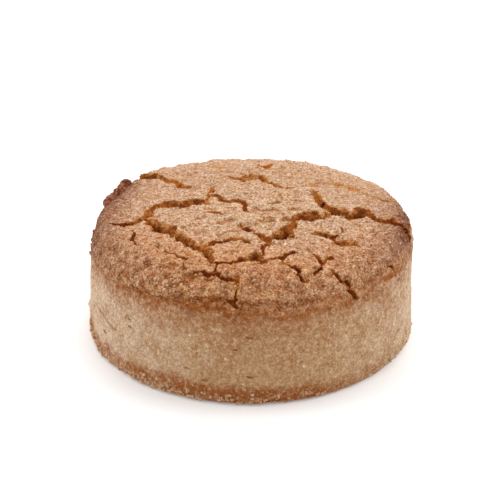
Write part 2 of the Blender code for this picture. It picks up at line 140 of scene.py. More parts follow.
# -------------------- Splits
# How far the left side stands up, then the route over the crust laid flat, as (x, y, width).
SPLITS = {
    "back_left": (0.6, [(-21.5, -5.5, 1.0), (-22, -3, 1.5), (-22, 0, 1.2), (-21, 2, 0.8), (-19.5, 3, 1.4),
        (-17, 2.5, 1.9), (-15, 1.5, 2.8), (-13, 2.5, 2.4), (-10.5, 3, 2.8)]),
    "back_left_stem": (0.1, [(-9, 12, 0.7), (-9, 8.5, 0.8), (-9.5, 4.5, 0.9)]),
    "left": (0.6, [(-22, -4, 1.2), (-21.5, -6, 1.7), (-20, -8, 2.2), (-19, -10.5, 3.0), (-17, -11.5, 3.0),
        (-15.5, -14, 2.2), (-14.5, -16, 2.0), (-12.5, -17.5, 1.8), (-11, -19.5, 1.8), (-9.5, -21, 1.9),
        (-8.8, -22.5, 2.1), (-8.5, -25, 1.2)]),
    "back_rim": (0.6, [(-30.5, 23, 1.4), (-27, 20, 1.7), (-25.5, 18.5, 1.7), (-24, 19, 2.3), (-22, 18.5, 2.3),
        (-20.5, 17.5, 0.8), (-18.5, 16, 1.0), (-17, 15, 0.9), (-15.5, 12, 0.7), (-13, 11, 0.4)]),
    "back_rim_branch": (0.0, [(-17, 16, 0.5), (-15, 17.5, 0.4), (-14, 20, 0.6), (-13, 21, 0.3)]),
    "back_edge": (0.1, [(-10.5, 25, 0.5), (-9, 25, 0.7), (-6.5, 24.5, 0.8), (-4.5, 24, 0.3)]),
    "back_middle": (0.5, [(-6, 18, 0.4), (-5, 17.5, 0.5), (-2.5, 17, 1.3), (-1, 17, 2.6), (0.5, 16.5, 1.1)]),
    "back_middle_pit": (0.1, [(1, 19, 1.2), (2, 17.5, 1.6), (3, 15, 0.9)]),
    "back_middle_tail": (0.2, [(3, 14, 1.5), (4.5, 14, 0.9), (6.5, 12, 1.0), (8, 12, 0.5), (9.5, 11.5, 0.3)]),
    "inner": (0.5, [(-9, 6, 0.8), (-7.5, 6, 0.8), (-5.5, 4.5, 0.9), (-4, 3.5, 1.1), (-2.5, 3.5, 0.8),
        (-1.5, 1, 0.7), (-1, -1.5, 0.7), (0, -2, 0.4)]),
    "back_nick": (0.1, [(2, 26, 0.8), (3.5, 25.5, 1.3), (5, 27.5, 0.5), (6, 29, 0.3)]),
    "back_hair": (0.1, [(6.5, 22, 0.4), (8.5, 21, 0.5), (10.5, 20, 0.6), (12.5, 17.5, 0.3)]),
    "back_right": (0.3, [(12, 13, 0.5), (13, 13, 0.6), (14.5, 14.5, 0.4), (16, 14.5, 0.5), (17.5, 14, 0.4),
        (19, 13.5, 0.5), (20.5, 12.5, 0.7), (22, 12, 0.8), (23.5, 10.5, 0.4), (24.5, 8, 0.35),
        (26.5, 6, 0.35), (28, 6, 0.35), (30.5, 5.5, 0.35), (32.5, 6.5, 0.3)]),
    "right": (0.6, [(14, 10.5, 0.5), (14, 6, 0.9), (14.5, 4, 1.6), (15.5, 2, 1.3), (17, 0.5, 0.9),
        (17.5, -1, 2.6), (18.5, -2, 3.5), (19.5, -3, 3.6), (21, -4, 3.4), (22, -3, 2.7), (23.5, -1.5, 2.6),
        (24.5, -2.5, 2.2), (26, -4, 1.2), (27.5, -5, 1.6), (29, -6, 1.3), (30, -7, 1.0), (32.5, -8, 0.9),
        (35, -9, 1.2)]),
    "middle": (0.6, [(8.5, -7.5, 1.0), (9.5, -6, 1.6), (10.5, -5.5, 2.3), (12, -5, 2.7), (13.5, -5, 2.6),
        (15, -4.5, 2.2), (17, -2, 1.3)]),
    "middle_loop": (0.6, [(-2, -9, 0.3), (-0.5, -11, 0.4), (0, -12.5, 0.4), (0.5, -14.5, 0.4),
        (1.5, -15.5, 0.9), (2.5, -16.5, 0.8), (3.5, -17, 1.3), (4.5, -16.5, 1.9), (6, -15, 2.8),
        (7, -14, 3.2), (8, -12, 1.4), (8.5, -9, 1.0), (9, -7, 1.4)]),
    "middle_stem": (0.0, [(3.5, -17.5, 0.8), (2.5, -20, 0.6), (2, -21, 0.5), (2, -24, 0.4)]),
    "front_upper": (0.5, [(-8.5, -20, 0.9), (-6.5, -18.5, 0.5), (-5, -17.5, 0.5), (-3.5, -17, 1.4),
        (-2, -17, 1.1), (-1, -18.5, 0.7), (0, -19.5, 0.4)]),
    "front": (0.5, [(-8, -26.5, 0.5), (-6, -27, 0.6), (-4, -27, 0.7), (-2.5, -25, 0.6), (-1, -25, 1.0),
        (0, -24.5, 2.0), (2, -26, 1.6), (4, -25.5, 0.9), (6, -25, 0.6), (7, -23.5, 0.5), (8, -22, 0.4),
        (9, -22, 0.3)]),
    "front_tail": (0.0, [(6, -26, 0.4), (7, -27.5, 0.5), (7.5, -28.5, 0.5), (8.5, -29, 0.6), (8.5, -30, 0.4),
        (9.5, -31, 0.4), (10.5, -31.5, 0.3)]),
    "front_right": (0.1, [(12, -23, 0.3), (12.5, -24, 0.4), (13, -25.5, 0.4), (13.5, -27, 0.4),
        (13, -28, 0.4), (12.5, -29, 0.4), (12, -30, 0.3)]),
    "front_right_fork": (0.4, [(13.5, -26, 0.4), (14.5, -24.5, 1.1), (15, -24, 1.1), (16, -25, 0.4)]),
    "right_line": (0.1, [(18.5, -11, 0.4), (18, -12.5, 0.4), (17.5, -13.5, 0.7), (16, -15, 0.5),
        (17, -17.5, 0.5), (17.5, -18.5, 0.6)]),
    "right_pit": (0.5, [(16.5, -17.5, 1.2), (17.5, -17.5, 2.0), (18.5, -17.5, 1.1), (19.5, -18.5, 1.6),
        (21, -19.5, 0.6)]),
    "middle_pit": (0.5, [(12.5, -14, 1.0), (14, -14, 3.1), (15, -14.5, 2.2), (16, -15, 0.5)]),
    "front_left_rim": (0.4, [(-11, -28.5, 0.4), (-10, -29, 0.7), (-9, -30, 0.6), (-7.5, -30, 0.6),
        (-6.5, -30, 0.5), (-6, -31, 0.5), (-4.5, -31.5, 0.5), (-3, -31.5, 0.5)]),
    "over_the_front": (0.2, [(-3, -31, 0.8), (-3, -32, 0.8), (-3, -33.5, 0.7), (-3, -34.5, 0.7),
        (-3.5, -35, 0.9), (-4, -35.5, 1.0), (-3, -36.5, 0.7), (-2, -37.5, 0.5)]),
    "front_left_stem": (0.0, [(-7, -27, 0.4), (-7, -29, 0.4), (-7, -30, 0.4)]),
    "over_the_right": (0.2, [(15.5, -28, 0.4), (17, -28.5, 0.5), (18, -29, 0.6), (19, -29, 0.6),
        (19.5, -29.5, 0.8), (20, -30.5, 0.7), (21, -30.5, 0.8), (22.5, -31, 0.8), (23, -31, 0.6),
        (23.5, -32.5, 0.5)]),
    "right_rim": (0.0, [(29, -21.5, 0.3), (30.5, -21, 0.4), (31, -21.5, 0.6), (32, -21.5, 0.5),
        (33, -22, 0.3)]),
    "left_branch": (0.3, [(-29.5, -6.5, 0.3), (-27.5, -7, 0.4), (-26.5, -7.5, 0.4), (-25, -6.5, 0.9),
        (-23.5, -6, 1.2), (-22.5, -5.5, 0.7)]),
    "left_hair": (0.0, [(-24, -10.5, 0.35), (-24, -13, 0.4), (-24, -15, 0.4), (-23.5, -17, 0.35),
        (-23, -18, 0.3)]),
    "front_left_hair": (0.1, [(-17, -21, 0.35), (-15.5, -22, 0.4), (-14.5, -23, 0.35), (-13, -23.5, 0.35),
        (-13, -24.5, 0.4), (-13, -26.5, 0.45), (-13, -27.5, 0.35)]),
    "left_nick": (0.0, [(-19, -17.5, 0.3), (-19, -19, 0.4), (-18.5, -20, 0.3)]),
    "plate_nick_1": (0.2, [(-9, -2, 0.3), (-7.5, -3, 0.6), (-6, -4.5, 0.3)]),
    "plate_nick_2": (0.1, [(-5, 0, 0.3), (-3.5, -0.5, 0.3)]),
    "plate_nick_3": (0.2, [(-0.5, -3.5, 0.4), (2, -3, 0.6)]),
    "plate_nick_4": (0.2, [(2, -6, 0.5), (3.5, -7, 0.4)]),
    "plate_nick_5": (0.2, [(5, -4, 0.6), (6.5, -4.5, 0.4)]),
}
SPLIT_WALL = 0.45  # level width of a split's wall inside its edge
SPLIT_SLOPE = 0.3  # how much more level room a wide split's walls take
SPLIT_LIP = 0.28  # width of the rounded lip outside the edge of a wide split
CRACK_LIP = 0.12  # and of a thin crack
SPLIT_TINT = 0.7  # how far outside the edge the skin is golden
CRUMB_RELIEF = 0.48  # relief of the torn dough
SPLIT_LEAST_DEPTH = 1.0
SPLIT_MORE_DEPTH = 0.3  # a split is this much deeper than it is wide
SPLIT_MOST_DEPTH = 3.2
SPLIT_END_DEPTH = 0.45  # share of the depth that is left at a split's ends
SPLIT_DARK_DEPTH = 2.4  # from here down the painted shade in a split is darkest
SHALLOW_SPLITS = ("back_right", "back_hair", "back_edge", "back_rim_branch")
SHALLOW_SHARE = 0.3
SPLIT_FADE = 1.2
SPLIT_RAGGED = ((2.3, 0.45), (1.25, 0.46), (0.8, 0.20))  # sizes of the ragged edge's wander, and how far
SPLIT_UNEVEN = 0.25
SPLIT_WIDER = 0.06  # each split is this much wider than its route says
CRACK_MARGIN = 0.14  # no grain lies this near a thin crack
LIFT_REACH = 5.0
LIFT_UP = 0.7
LIFT_DOWN = 0.3
GATHER_SHARE = 0.65
GATHER_REACH = 1.4

CELLS = 280  # across the crust's grid
WALL_COLUMNS = 2 * CELLS  # half as many as the crust has round its border
WALL_ROWS = 36
ROW_CROWDING = 0.5  # rows crowd together at the crust and at the foot

# Bumps round the foot: turn, height, reach and how proud.
FOOT_BUMPS = ((-86.0, 4.6, 1.6, 0.5), (-80.0, 1.4, 1.8, 0.3), (57.0, 5.0, 2.2, 0.5))
# Scorched places on the crust laid flat: x, y, reach and how dark.
SCORCHED = ((-30.0, 16.0, 4.5, 0.9), (-32.5, 8.5, 3.5, 0.9), (35.5, -9.5, 2.6, 1.0), (-13.0, -28.5, 0.9, 0.4))
# Scorched nubs on the left rim: turn, radius, height, then half sizes along the rim, across and up.
NUBS = (
    (-118.0, 31.7, 26.3, 1.5, 1.2, 1.10),
    (-115.0, 31.6, 26.2, 1.4, 1.1, 1.05),
    (-112.0, 31.6, 25.9, 1.3, 1.0, 0.95),
    (-109.5, 31.7, 25.6, 1.1, 1.0, 0.80),
    (-105.5, 32.0, 25.4, 1.3, 1.0, 0.95),
    (-102.5, 32.1, 25.1, 1.3, 1.0, 0.85),
    (-86.0, 33.0, 22.0, 1.2, 0.7, 0.70),
)
# Balls, as turns and rings: tiny grains, crumbs and nubs.
GRAIN = (5, 1)
CRUMB = (7, 3)
NUB = (48, 23)
# Loose crumbs: name, where they lie, seed, count, smallest and largest, how proud, how much paler or
# browner than the skin, how golden, their ball, and whether they have fallen to the foot.
CRUMBS = (
    ("crust_grains", "crust", 100, 19000, (0.26, 0.68), -0.10, (-0.30, 0.15), 0.4, GRAIN, False),
    ("wall_grains", "wall", 105, 9000, (0.22, 0.5), -0.25, (-0.15, 0.15), 0.0, GRAIN, False),
    ("edge_crumbs", "edge", 101, 420, (0.4, 1.1), 0.1, (-0.4, 0.1), 1.0, CRUMB, False),
    ("split_crumbs", "split", 102, 2200, (0.3, 1.0), -0.05, (-0.3, 0.1), 1.0, GRAIN, False),
    ("foot_crumbs", "foot", 103, 330, (0.35, 0.85), 0.0, (-0.9, -0.4), 0.0, CRUMB, True),
    ("rim_crumbs", "rim", 104, 40, (0.4, 1.0), 0.1, (-0.4, 0.1), 0.0, CRUMB, False),
)
FAIR_MIDDLE = (1.5, -2.5)  # the crust is palest round here
FAIR_SPREAD = 12.0
SCRATCH = ((-68.0, 10.8), (-53.0, 9.2))  # on the wall, from here to here, as turn and height


# -------------------- Fields: whole arrays of points in, whole arrays out
def lumps(points, size, seed):
    """Smooth random bumps from -1 to 1: random values on a cube lattice of this size, with the eight
    corners of a point's cube mixed by an eased share of the way between them."""
    span = 32
    lattice = np.random.default_rng(seed).uniform(-1.0, 1.0, (span, span, span))
    cell = points / size + 0.37
    base = np.floor(cell).astype(int)
    part = cell - base
    part = part * part * part * (part * (part * 6.0 - 15.0) + 10.0)
    total = np.zeros(len(points))
    for corner in np.ndindex(2, 2, 2):
        share = np.prod(np.where(corner, part, 1.0 - part), axis=1)
        at = (base + corner) % span
        total += share * lattice[at[:, 0], at[:, 1], at[:, 2]]
    return total


def beads(points, size, seed):
    """Packed round grains, 0 between them and 1 on top: one jittered seed point for each cube of the
    lattice, and the height falls as a circle's with the distance to the nearest seed point."""
    span = 32
    jitter = np.random.default_rng(seed).uniform(0.0, 1.0, (span, span, span, 3))
    cell = points / size
    base = np.floor(cell).astype(int)
    best = np.full(len(points), 9.0)
    for step in np.ndindex(3, 3, 3):
        corner = base + np.array(step) - 1
        at = corner % span
        offset = corner + jitter[at[:, 0], at[:, 1], at[:, 2]] - cell
        best = np.minimum(best, np.einsum("ij,ij->i", offset, offset))
    return np.sqrt(np.clip(1.0 - best / 0.8, 0.0, 1.0))


def bell(distance, reach):
    """1 at no distance, falling off smoothly over the reach."""
    return np.exp(-((distance / reach) ** 2))


def ease(value):
    """0 below 0, 1 above 1, and smooth between."""
    value = np.clip(value, 0.0, 1.0)
    return value * value * (3.0 - 2.0 * value)


def rise(value, start, run):
    """0 up to the start, 1 from one run past it, and smooth between."""
    return ease((value - start) / run)


def turn_gap(turn, centre):
    """Degrees between two turns, the short way round."""
    return (turn - centre + 180.0) % 360.0 - 180.0


def by_turn(turn, pattern):
    """A value that varies round the biscuit: one number everywhere, and a bell for each stretch."""
    value, *stretches = pattern
    for more, middle, spread in stretches:
        value = value + more * bell(turn_gap(turn, middle), spread)
    return value


def turn_of(places):
    """Degrees from the front (-Y) towards +X."""
    return np.degrees(np.arctan2(places[:, 0], -places[:, 1]))


def reach_of(places, middle=(0.0, 0.0)):
    """Level distance from the middle, or from another place."""
    return np.hypot(places[:, 0] - middle[0], places[:, 1] - middle[1])


def level_way(turn):
    """The level direction outwards at each turn."""
    return np.stack([np.sin(np.radians(turn)), -np.cos(np.radians(turn))], axis=1)


def with_height(level, height):
    """Level places and their heights as one array of points."""
    return np.concatenate([level, height[:, None]], axis=1)


def laid_flat(level):
    """Level places as points at no height."""
    return with_height(level, np.zeros(len(level)))


def dome_height(radius):
    """A shallow parabola."""
    return HEIGHT - DOME_DROP * (radius / DOME_RADIUS) ** 2


def roll_length(turn):
    """Length of the quarter ellipse over which the crust rolls down into the wall."""
    start = by_turn(turn, RIM_START)
    out = WALL_RADIUS - start
    down = dome_height(start) - WALL_HEIGHT
    return np.pi / 2.0 * np.sqrt((out * out + down * down) / 2.0)


def wall_radius(height):
    """Straight taper from the foot up to the crust, upright at the foot, rounded a little at the base."""
    taper = np.clip((height - FOOT_HEIGHT) / (WALL_HEIGHT - FOOT_HEIGHT), 0.0, 1.0)
    rounding = EDGE_ROUNDING * np.clip(1.0 - height / EDGE_ROUNDING, 0.0, 1.0)
    return FOOT_RADIUS + (WALL_RADIUS - FOOT_RADIUS) * taper - rounding


def crust_edge(turn):
    """Height at which the browned crust ends on the wall: it dips round the front and at the left, and
    wanders."""
    way = laid_flat(level_way(turn) * WALL_RADIUS)
    wander = 0.65 * lumps(way, 2.6, 21) + 0.35 * lumps(way, 1.1, 22)
    return CRUST_HIGH - by_turn(turn, CRUST_DIP) + CRUST_WANDER * wander


def above_edge(smooth):
    """Height above the crust's edge."""
    return smooth[:, 2] - crust_edge(turn_of(smooth))


# -------------------- The crust
def nearest_on_route(points, route):
    """For each point: distance to the route, its side (+1 left), the way back to it, the split's width
    there, and how far that is from the split's nearer end. Each leg is a straight line, and the nearest
    leg counts."""
    route = np.array(route, float)
    best = np.full(len(points), np.inf)
    side = np.ones(len(points))
    away = np.zeros((len(points), 2))
    width = np.zeros(len(points))
    run = np.zeros(len(points))
    walked = 0.0
    for first, second in zip(route[:-1], route[1:]):
        leg = (second - first)[:2]
        length = np.hypot(*leg)
        share = np.clip(((points - first[:2]) @ leg) / length**2, 0.0, 1.0)
        offset = points - first[:2] - share[:, None] * leg
        distance = reach_of(offset)
        nearer = distance < best
        best = np.where(nearer, distance, best)
        side = np.where(nearer, np.sign(leg[0] * offset[:, 1] - leg[1] * offset[:, 0]), side)
        away = np.where(nearer[:, None], offset / np.maximum(distance, 1e-6)[:, None], away)
        width = np.where(nearer, first[2] + share * (second[2] - first[2]), width)
        run = np.where(nearer, walked + share * length, run)
        walked += length
    return best, side, away, width, np.minimum(run, walked - run)


def ragged(flat):
    """The flat crust's places pushed about by small bumps, so that a route over them has ragged edges."""
    spread = laid_flat(flat)
    moved = flat.copy()
    for index, (size, reach) in enumerate(SPLIT_RAGGED):
        moved[:, 0] += reach * lumps(spread, size, 31 + index)
        moved[:, 1] += reach * lumps(spread, size, 41 + index)
    return moved


def near_route(flat, rough, route, reach):
    """Which points lie in the route's rectangle, widened by the reach, and what nearest_on_route says of
    them. The edges of a narrow split are a little less ragged."""
    corners = np.array(route, float)[:, :2]
    inside = (rough > corners.min(axis=0) - reach) & (rough < corners.max(axis=0) + reach)
    near = np.nonzero(inside.all(axis=1))[0]
    widest = max(width for _, _, width in route)
    places = flat[near] + (0.8 + 0.2 * rise(widest, 0.6, 0.8)) * (rough[near] - flat[near])
    return near, *nearest_on_route(places, route)


def gather_at_splits(flat):
    """Moves places towards the edges of the nearest split, so that the grid draws those edges finely."""
    rough = ragged(flat)
    nearest = np.full(len(flat), 99.0)
    shift = np.zeros((len(flat), 2))
    for _, route in SPLITS.values():
        near, distance, _, away, width, _ = near_route(flat, rough, route, 3.0 * GATHER_REACH)
        gap = distance - width / 2.0
        nearer = distance < nearest[near]
        move = (-GATHER_SHARE * gap * bell(gap, GATHER_REACH))[:, None] * away
        shift[near] = np.where(nearer[:, None], move, shift[near])
        nearest[near] = np.where(nearer, distance, nearest[near])
    return flat + shift


def split_fields(flat):
    """At each place: how far the crust is lifted beside the splits, how deep the splits are, and values
    for the colours: torn dough, painted shade that darkens the splits deeper down and fills the thin cracks,
    the golden skin along the edges, and the thin cracks.
    A split goes down over a rounded lip and a wall, on each side of a level bottom."""
    rough = ragged(flat)
    spread = laid_flat(flat)
    wider = 1.0 + SPLIT_UNEVEN * lumps(spread, 2.1, 36)
    deeper = 1.0 + SPLIT_UNEVEN * lumps(spread, 2.9, 37)
    lift, depth, torn, painted_shade, golden, crack = np.zeros((6, len(flat)))
    for name, (left_lift, route) in SPLITS.items():
        near, distance, side, _, width, from_end = near_route(flat, rough, route, 3.0 * LIFT_REACH)
        shallow = SHALLOW_SHARE if name in SHALLOW_SPLITS else 1.0
        fade = ease(from_end / SPLIT_FADE)
        width = width + SPLIT_WIDER
        width = width * (1.0 + (wider[near] - 1.0) * ease(width))
        half = np.maximum(width / 2.0, 0.05)
        across = (1.0 + np.clip(side * distance / half, -1.0, 1.0)) / 2.0
        tilt = across * (LIFT_UP + LIFT_DOWN) - LIFT_DOWN
        lift[near] += left_lift * fade * tilt * np.exp(-distance / LIFT_REACH)

        within = half - distance
        lip = CRACK_LIP + (SPLIT_LIP - CRACK_LIP) * ease(width / 1.6)
        wall = np.minimum(SPLIT_WALL + SPLIT_SLOPE * np.maximum(width - 1.0, 0.0), half)
        opening = ease((within + lip) / (lip + wall))
        bottom = np.clip(width + SPLIT_MORE_DEPTH, SPLIT_LEAST_DEPTH, SPLIT_MOST_DEPTH)
        bottom = shallow * bottom * deeper[near] * opening
        narrow = ease(1.5 - width / 1.2)
        tinted = np.maximum(0.2 + 0.8 * rise(width, 0.5, 0.9), 1.0 - shallow)
        for field, value in (
            (depth, bottom * (SPLIT_END_DEPTH + (1.0 - SPLIT_END_DEPTH) * fade)),
            (torn, (0.4 + 0.6 * (shallow == 1.0)) * ease(within / (0.10 + 0.6 * lip) + 1.0)),
            (crack, narrow * shallow * ease((within + CRACK_MARGIN) / 0.2)),
            # Thin cracks are filled with painted shade.
            (painted_shade, 0.9 * shallow**2 * narrow * (0.6 + 0.4 * fade) * ease(within / 0.15 + 1.0)),
            (golden, tinted * ease(within / SPLIT_TINT + 1.0)),
        ):
            field[near] = np.maximum(field[near], value)
    # Painted shade darkens a split with its depth, less towards the back.
    painted_shade = np.maximum(painted_shade, depth / SPLIT_DARK_DEPTH) * (1.0 - 0.42 * rise(flat[:, 1], 2.0, 10.0))
    return lift, depth, {"torn": torn, "painted_shade": painted_shade, "golden": golden, "crack": crack}


def crust_surface(flat):
    """The flat crust bent over the dome and round the rim: smooth places and the way outwards. Past the
    roll's start a quarter ellipse leads down to the wall."""
    turn = turn_of(flat)
    along = reach_of(flat)
    start = by_turn(turn, RIM_START)
    rolled = np.clip((along - start) / roll_length(turn), 0.0, 1.0)
    lean = rolled * np.pi / 2.0
    radius = np.minimum(along, start) + (WALL_RADIUS - start) * np.sin(lean)
    drop = (dome_height(start) - WALL_HEIGHT) * (1.0 - np.cos(lean))
    height = dome_height(np.minimum(along, start)) - drop
    risen = by_turn(turn, BACK_LEFT_RISE) * rise(along, BACK_LEFT_START, BACK_LEFT_RUN)
    height = height + risen * (1.0 - rolled)
    outward = with_height(np.sin(lean)[:, None] * level_way(turn), np.cos(lean))
    return with_height(radius[:, None] * level_way(turn), height), outward


def coarseness(smooth):
    """How coarse and crumbly the crust is: 0 on the plates, up to 1 on the front shoulder, and some at
    the left rim. It ends with the crust."""
    turn = turn_of(smooth)
    radius = reach_of(smooth)
    front = by_turn(turn, COARSE_FRONT) * rise(radius, 24.0, 8.0)
    left = by_turn(turn, COARSE_LEFT) * rise(radius, 28.0, 5.0)
    return np.clip(front + left, 0.0, 1.0) * ease(above_edge(smooth) / 1.5 + 0.8)


def grain_relief(smooth, coarse):
    """The crust's grain: broad lumps, grit and packed beads, calmer at the back, with larger grit where
    it is coarse."""
    calm = 1.0 - 0.25 * rise(smooth[:, 1], -6.0, 14.0)
    broad = LUMP_HEIGHT * lumps(smooth, LUMP_SIZE, 11)
    packed = BEAD_HEIGHT * (beads(smooth, BEAD_SIZE, 13) - BEAD_MIDDLE)
    grit = GRIT_HEIGHT * lumps(smooth, GRIT_SIZE, 12) + packed
    rough = lumps(smooth, 1.6, 14) + 0.9 * lumps(smooth, 0.95, 15)
    return calm * (broad + grit) + COARSE_RELIEF * coarse * rough


def dent_relief(smooth):
    """Small dents in the plates, wider than long, most in the middle one. The lattice of their noise is
    turned and bent, so that they stand in no rows."""
    middle = bell(reach_of(smooth, DENT_MIDDLE), DENT_SPREAD)
    right = 0.4 * bell(reach_of(smooth, DENT_RIGHT), DENT_RIGHT_SPREAD)
    share = DENT_LEAST + (1.0 - DENT_LEAST) * np.maximum(middle, right)
    bend = DENT_BEND * np.stack([lumps(smooth, 2.6, 56), lumps(smooth, 2.6, 57)], axis=1)
    x, y = ((smooth[:, :2] + bend) * (DENT_WIDENING, 1.0)).T
    cos, sin = np.cos(np.radians(DENT_SLANT)), np.sin(np.radians(DENT_SLANT))
    turned = np.stack([x * cos - y * sin, x * sin + y * cos, smooth[:, 2]], axis=1)
    return -DENT_DEPTH * share * rise(lumps(turned, DENT_SIZE, 53), 0.12, 0.5)


def lip_height(smooth):
    """Height above the lip, the lower edge of the crust's skin. The torn band lies below the lip."""
    turn = turn_of(smooth)
    band = BAND_NARROW + (BAND_WIDE - BAND_NARROW) * rise(turn, *BAND_WIDENS)
    return above_edge(smooth) - band * by_turn(turn, LIP_BAND)


def torn_band(smooth, turn):
    """1 on the torn band below the lip, 0 away from the front."""
    return ease(0.5 - lip_height(smooth) / 0.9) * by_turn(turn, TORN_BAND)


def crumbly_shoulder(smooth):
    """1 in the middle of the crumbly shoulder at the front left."""
    above, spread = CRUMBLY_HEIGHT
    return by_turn(turn_of(smooth), CRUMBLY) * bell(above_edge(smooth) - above, spread)


def shoulder_pits(smooth):
    """The pits between the coarse crumbs of the front left shoulder: 1 in the middle of each."""
    return crumbly_shoulder(smooth) * rise(lumps(smooth, 1.6, 52), 0.25, 0.25)


def shoulder_relief(smooth):
    """The skin's proud lower lip at the front with the torn band recessed beneath it, and at the front
    left coarse crumbs with pits between them."""
    turn = turn_of(smooth)
    from_lip = lip_height(smooth)
    front = by_turn(turn, LEDGE_FRONT)
    lip = LEDGE * ease(from_lip / 0.7 + 0.5) * np.exp(-np.maximum(from_lip, 0.0) / LEDGE_FADE)
    lip *= (0.1 + 0.9 * front) * (1.0 + 0.8 * lumps(smooth, 2.0, 55))
    groove = LEDGE_GROOVE * bell(from_lip + 0.9, 0.8) * front * (1.0 + 0.8 * lumps(smooth, 2.8, 54))
    coarse = CRUMBLY_RELIEF * crumbly_shoulder(smooth) * lumps(smooth, 1.5, 51)
    height, spread = LEAN_HEIGHT
    left = by_turn(turn, LEFT_LEAN) * bell(smooth[:, 2] - height, spread)
    return lip - groove + coarse - PIT_DEPTH * shoulder_pits(smooth) + left


def ledge_sag(smooth):
    """How far the lip's lower edge hangs down."""
    front = by_turn(turn_of(smooth), LEDGE_FRONT)
    return LEDGE_SAG * front * bell(lip_height(smooth) - 0.3, 0.5) * (1.0 + 0.6 * lumps(smooth, 1.6, 56))


def box_mean(grid, reach):
    """Mean over a square of cells around each cell, from the sums along one way and then the other."""
    for axis in (0, 1):
        grid = sum(np.roll(grid, step, axis=axis) for step in range(-reach, reach + 1)) / (2.0 * reach + 1.0)
    return grid


def ridge_and_hollow(relief, shape, reach):
    """How far each point stands out from its near neighbours, and they from a wider square of them."""
    level = relief.reshape(shape)
    near = box_mean(level, 2)
    return (level - near).ravel(), (near - box_mean(level, reach)).ravel()


def grid_normals(places, shape):
    """Upward normals of a grid, from its two directions."""
    grid = places.reshape(*shape, 3)
    normal = np.cross(np.gradient(grid, axis=1), np.gradient(grid, axis=0)).reshape(-1, 3)
    return normal / np.maximum(np.linalg.norm(normal, axis=1), 1e-9)[:, None]


def swell(places):
    """A slow unevenness of the whole outline, which leaves the base flat."""
    radius = np.maximum(reach_of(places), 1e-6)
    outward = SWELL_HEIGHT * lumps(places, SWELL_SIZE, 3) * radius / WALL_RADIUS
    upward = SWELL_HEIGHT * lumps(places, SWELL_SIZE, 5) * ease(places[:, 2] / 4.0)
    moved = places.copy()
    moved[:, :2] *= (1.0 + outward / radius)[:, None]
    moved[:, 2] += upward
    return moved


def disc_from_square(u, v):
    """Squares around the middle become circles: the larger of u and v is the radius, and the other
    one's share of it is the turn, so that the cells stay alike in size."""
    wide = np.abs(u) > np.abs(v)
    reach = np.where(wide, u, v)
    part = np.where(wide, v, u) / np.where(reach == 0.0, 1.0, reach)
    angle = np.where(wide, np.pi / 4.0 * part, np.pi / 2.0 - np.pi / 4.0 * part)
    return np.stack([reach * np.cos(angle), reach * np.sin(angle)], axis=1)


def facing(first, second):
    """How far two directions agree, 1 where they are the same."""
    return np.einsum("ij,ij->i", first, second)


def crust_skin():
    """The crust as a grid in u and v from -1 to 1, bent into a disc, gathered at the splits, bent over
    the dome, and moved outwards by its relief. Returns places, smooth places and values of each."""
    line = np.linspace(-1.0, 1.0, CELLS + 1)
    u, v = [values.ravel() for values in np.meshgrid(line, line)]
    disc = disc_from_square(u, v)
    share = reach_of(disc)
    turn = turn_of(disc)
    flat = (share * (by_turn(turn, RIM_START) + roll_length(turn)))[:, None] * level_way(turn)
    inside = share < 1.0 - 1.5 / CELLS
    flat = np.where(inside[:, None], gather_at_splits(flat), flat)

    smooth, outward = crust_surface(flat)
    coarse = coarseness(smooth)
    lift, depth, values = split_fields(flat)
    dents = dent_relief(smooth)
    relief = lift - depth + dents + grain_relief(smooth, coarse) + shoulder_relief(smooth)
    places = smooth + relief[:, None] * outward
    places[:, 2] -= ledge_sag(smooth)
    shape = (CELLS + 1, CELLS + 1)
    normal = grid_normals(places, shape)
    steep = rise(1.0 - facing(normal, outward), 0.12, 0.38)
    crumbly = np.maximum(values["torn"], 0.35 * coarse) * (1.0 - 0.8 * values["crack"])
    crumbs = lumps(places, 1.25, 61) + 0.6 * lumps(places, 0.75, 62)
    places += (CRUMB_RELIEF * crumbly * crumbs)[:, None] * normal
    # Crumbs of torn dough that stand out take less painted shade.
    values["painted_shade"] = values["painted_shade"] - 0.26 * values["torn"] * (1.0 - values["crack"]) * crumbs

    band = torn_band(smooth, turn)
    pits = shoulder_pits(smooth)
    # Steep flanks of lumps count as lower, so that they take the painted shade of hollows.
    flank = ease((0.92 - facing(grid_normals(places, shape), outward)) / 0.35)
    ridge, values["hollow"] = ridge_and_hollow(relief, shape, 8)
    values["ridge"] = ridge - FLANK_SHADE * flank * (0.3 + 0.7 * coarse)
    values["coarse"] = coarse
    values["scratch"] = np.full(len(u), 9.0)
    # The shoulder's pits get a little painted shade, laid on like scorch.
    values["scorch_and_shade"] = 0.1 * pits
    patchy = np.clip(0.85 + 0.55 * lumps(smooth, 1.7, 84) + 0.35 * lumps(smooth, 0.9, 85), 0.0, 1.1)
    for label, more in (
        ("torn", steep * ease(3.0 * values["golden"])),
        ("golden", 0.6 * steep * (1.0 - coarse)),
        ("torn", 0.30 * band),
        ("torn", 0.15 * ease(-dents / 0.3 - 2.0)),
        # Painted shade on the torn band under the lip, in the dents and in the shoulder's pits.
        ("painted_shade", 0.5 * band),
        ("painted_shade", -0.3 * dents),
        ("golden", 0.15 * ease(-dents / 0.4)),
        ("torn", 0.6 * pits),
        ("painted_shade", 0.62 * pits),
        *(("scorch_and_shade", dark * bell(reach_of(flat, (x, y)), reach) * patchy) for x, y, reach, dark in SCORCHED),
    ):
        values[label] = np.maximum(values[label], more)
    return places, smooth, values


